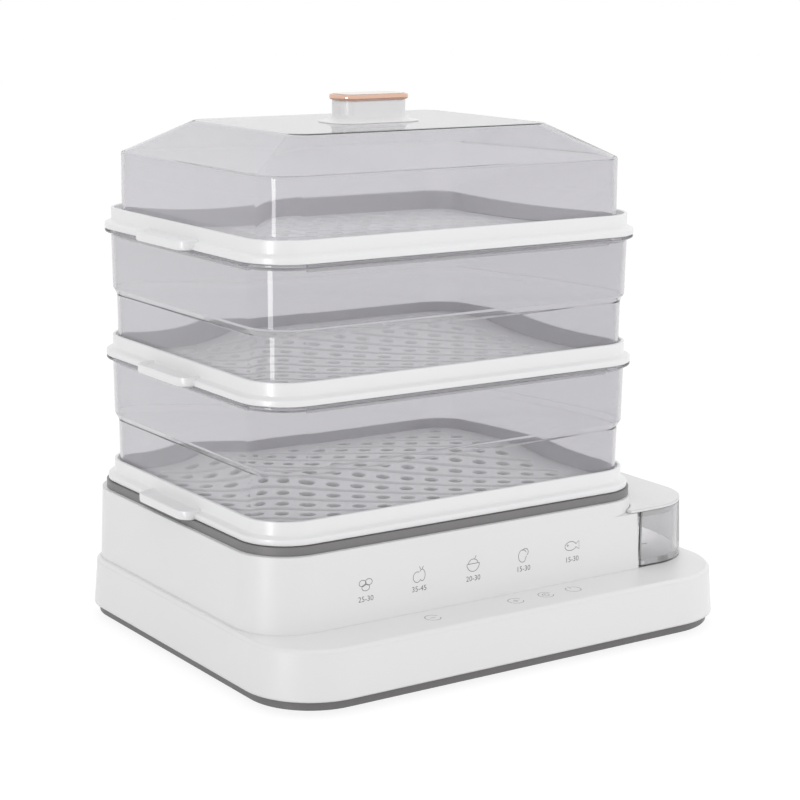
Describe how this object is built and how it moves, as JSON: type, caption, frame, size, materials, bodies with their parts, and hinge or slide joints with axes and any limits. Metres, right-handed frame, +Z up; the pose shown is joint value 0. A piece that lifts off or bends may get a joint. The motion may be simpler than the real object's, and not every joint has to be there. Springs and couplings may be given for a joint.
{
  "type": "electric food steamer",
  "caption": "Electric food steamer: low white base with a water basin and a side water box, stacked perforated trays with clear walls, and a clear hipped lid with a knob.",
  "frame": {"origin": "middle of the base's outline, on the surface that the feet stand on", "axes": "+Z up; the front with the program and touch marks faces -Y; the clear water box stands on the +X side"},
  "size_m": [0.384, 0.303, 0.3799],
  "materials": {
    "white_shell": "smooth satin-gloss white moulding",
    "white_tray": "smooth white food-grade moulding",
    "grey_base": "matt grey moulding",
    "grey_basin": "satin mid-grey moulding",
    "clear_plastic": "clear, faintly smoky moulded plastic, polished",
    "rose_gold": "polished rose-gold plating",
    "cream_inlay": "smooth cream inlay",
    "heater_metal": "brushed steel and cast alloy",
    "circuit_board": "matt green laminate",
    "dark_plastic": "matt black moulding",
    "dark_rubber": "soft dark grey rubber"
  },
  "bodies": {
    "base": {"base_housing": "white_shell", "bottom_cover": "grey_base", "rubber_feet": "dark_rubber", "water_tank": "grey_basin", "heating_plate": "heater_metal", "heating_element": "heater_metal", "thermostat": "dark_plastic", "power_board": "circuit_board", "touch_board": "circuit_board", "touch_pads": "dark_rubber", "indicator_board": "circuit_board", "cord_gland": "dark_plastic", "water_box": "clear_plastic", "water_port": "grey_basin"},
    "box_cover": {"water_box_cover": "white_shell"},
    "lower_tray": {"tray_lower": "white_tray"},
    "lower_wall": {"wall_lower": "clear_plastic"},
    "middle_tray": {"tray_middle": "white_tray"},
    "middle_wall": {"wall_middle": "clear_plastic"},
    "upper_tray": {"tray_upper": "white_tray"},
    "lid": {"lid_shell": "clear_plastic", "knob_base": "white_tray", "knob_band": "rose_gold", "knob_top": "cream_inlay"}
  },
  "joints": [
    {"name": "box_cover_lift", "type": "slide", "parent": "base", "child": "box_cover", "axis": [0, 0, 1], "range_m": [0, 0.06]},
    {"name": "lower_tray_lift", "type": "slide", "parent": "base", "child": "lower_tray", "axis": [0, 0, 1], "range_m": [0, 0.08]},
    {"name": "lower_wall_lift", "type": "slide", "parent": "lower_tray", "child": "lower_wall", "axis": [0, 0, 1], "range_m": [0, 0.08]},
    {"name": "middle_tray_lift", "type": "slide", "parent": "lower_wall", "child": "middle_tray", "axis": [0, 0, 1], "range_m": [0, 0.08]},
    {"name": "middle_wall_lift", "type": "slide", "parent": "middle_tray", "child": "middle_wall", "axis": [0, 0, 1], "range_m": [0, 0.08]},
    {"name": "upper_tray_lift", "type": "slide", "parent": "middle_wall", "child": "upper_tray", "axis": [0, 0, 1], "range_m": [0, 0.08]},
    {"name": "lid_lift", "type": "slide", "parent": "upper_tray", "child": "lid", "axis": [0, 0, 1], "range_m": [0, 0.08]}
  ]
}
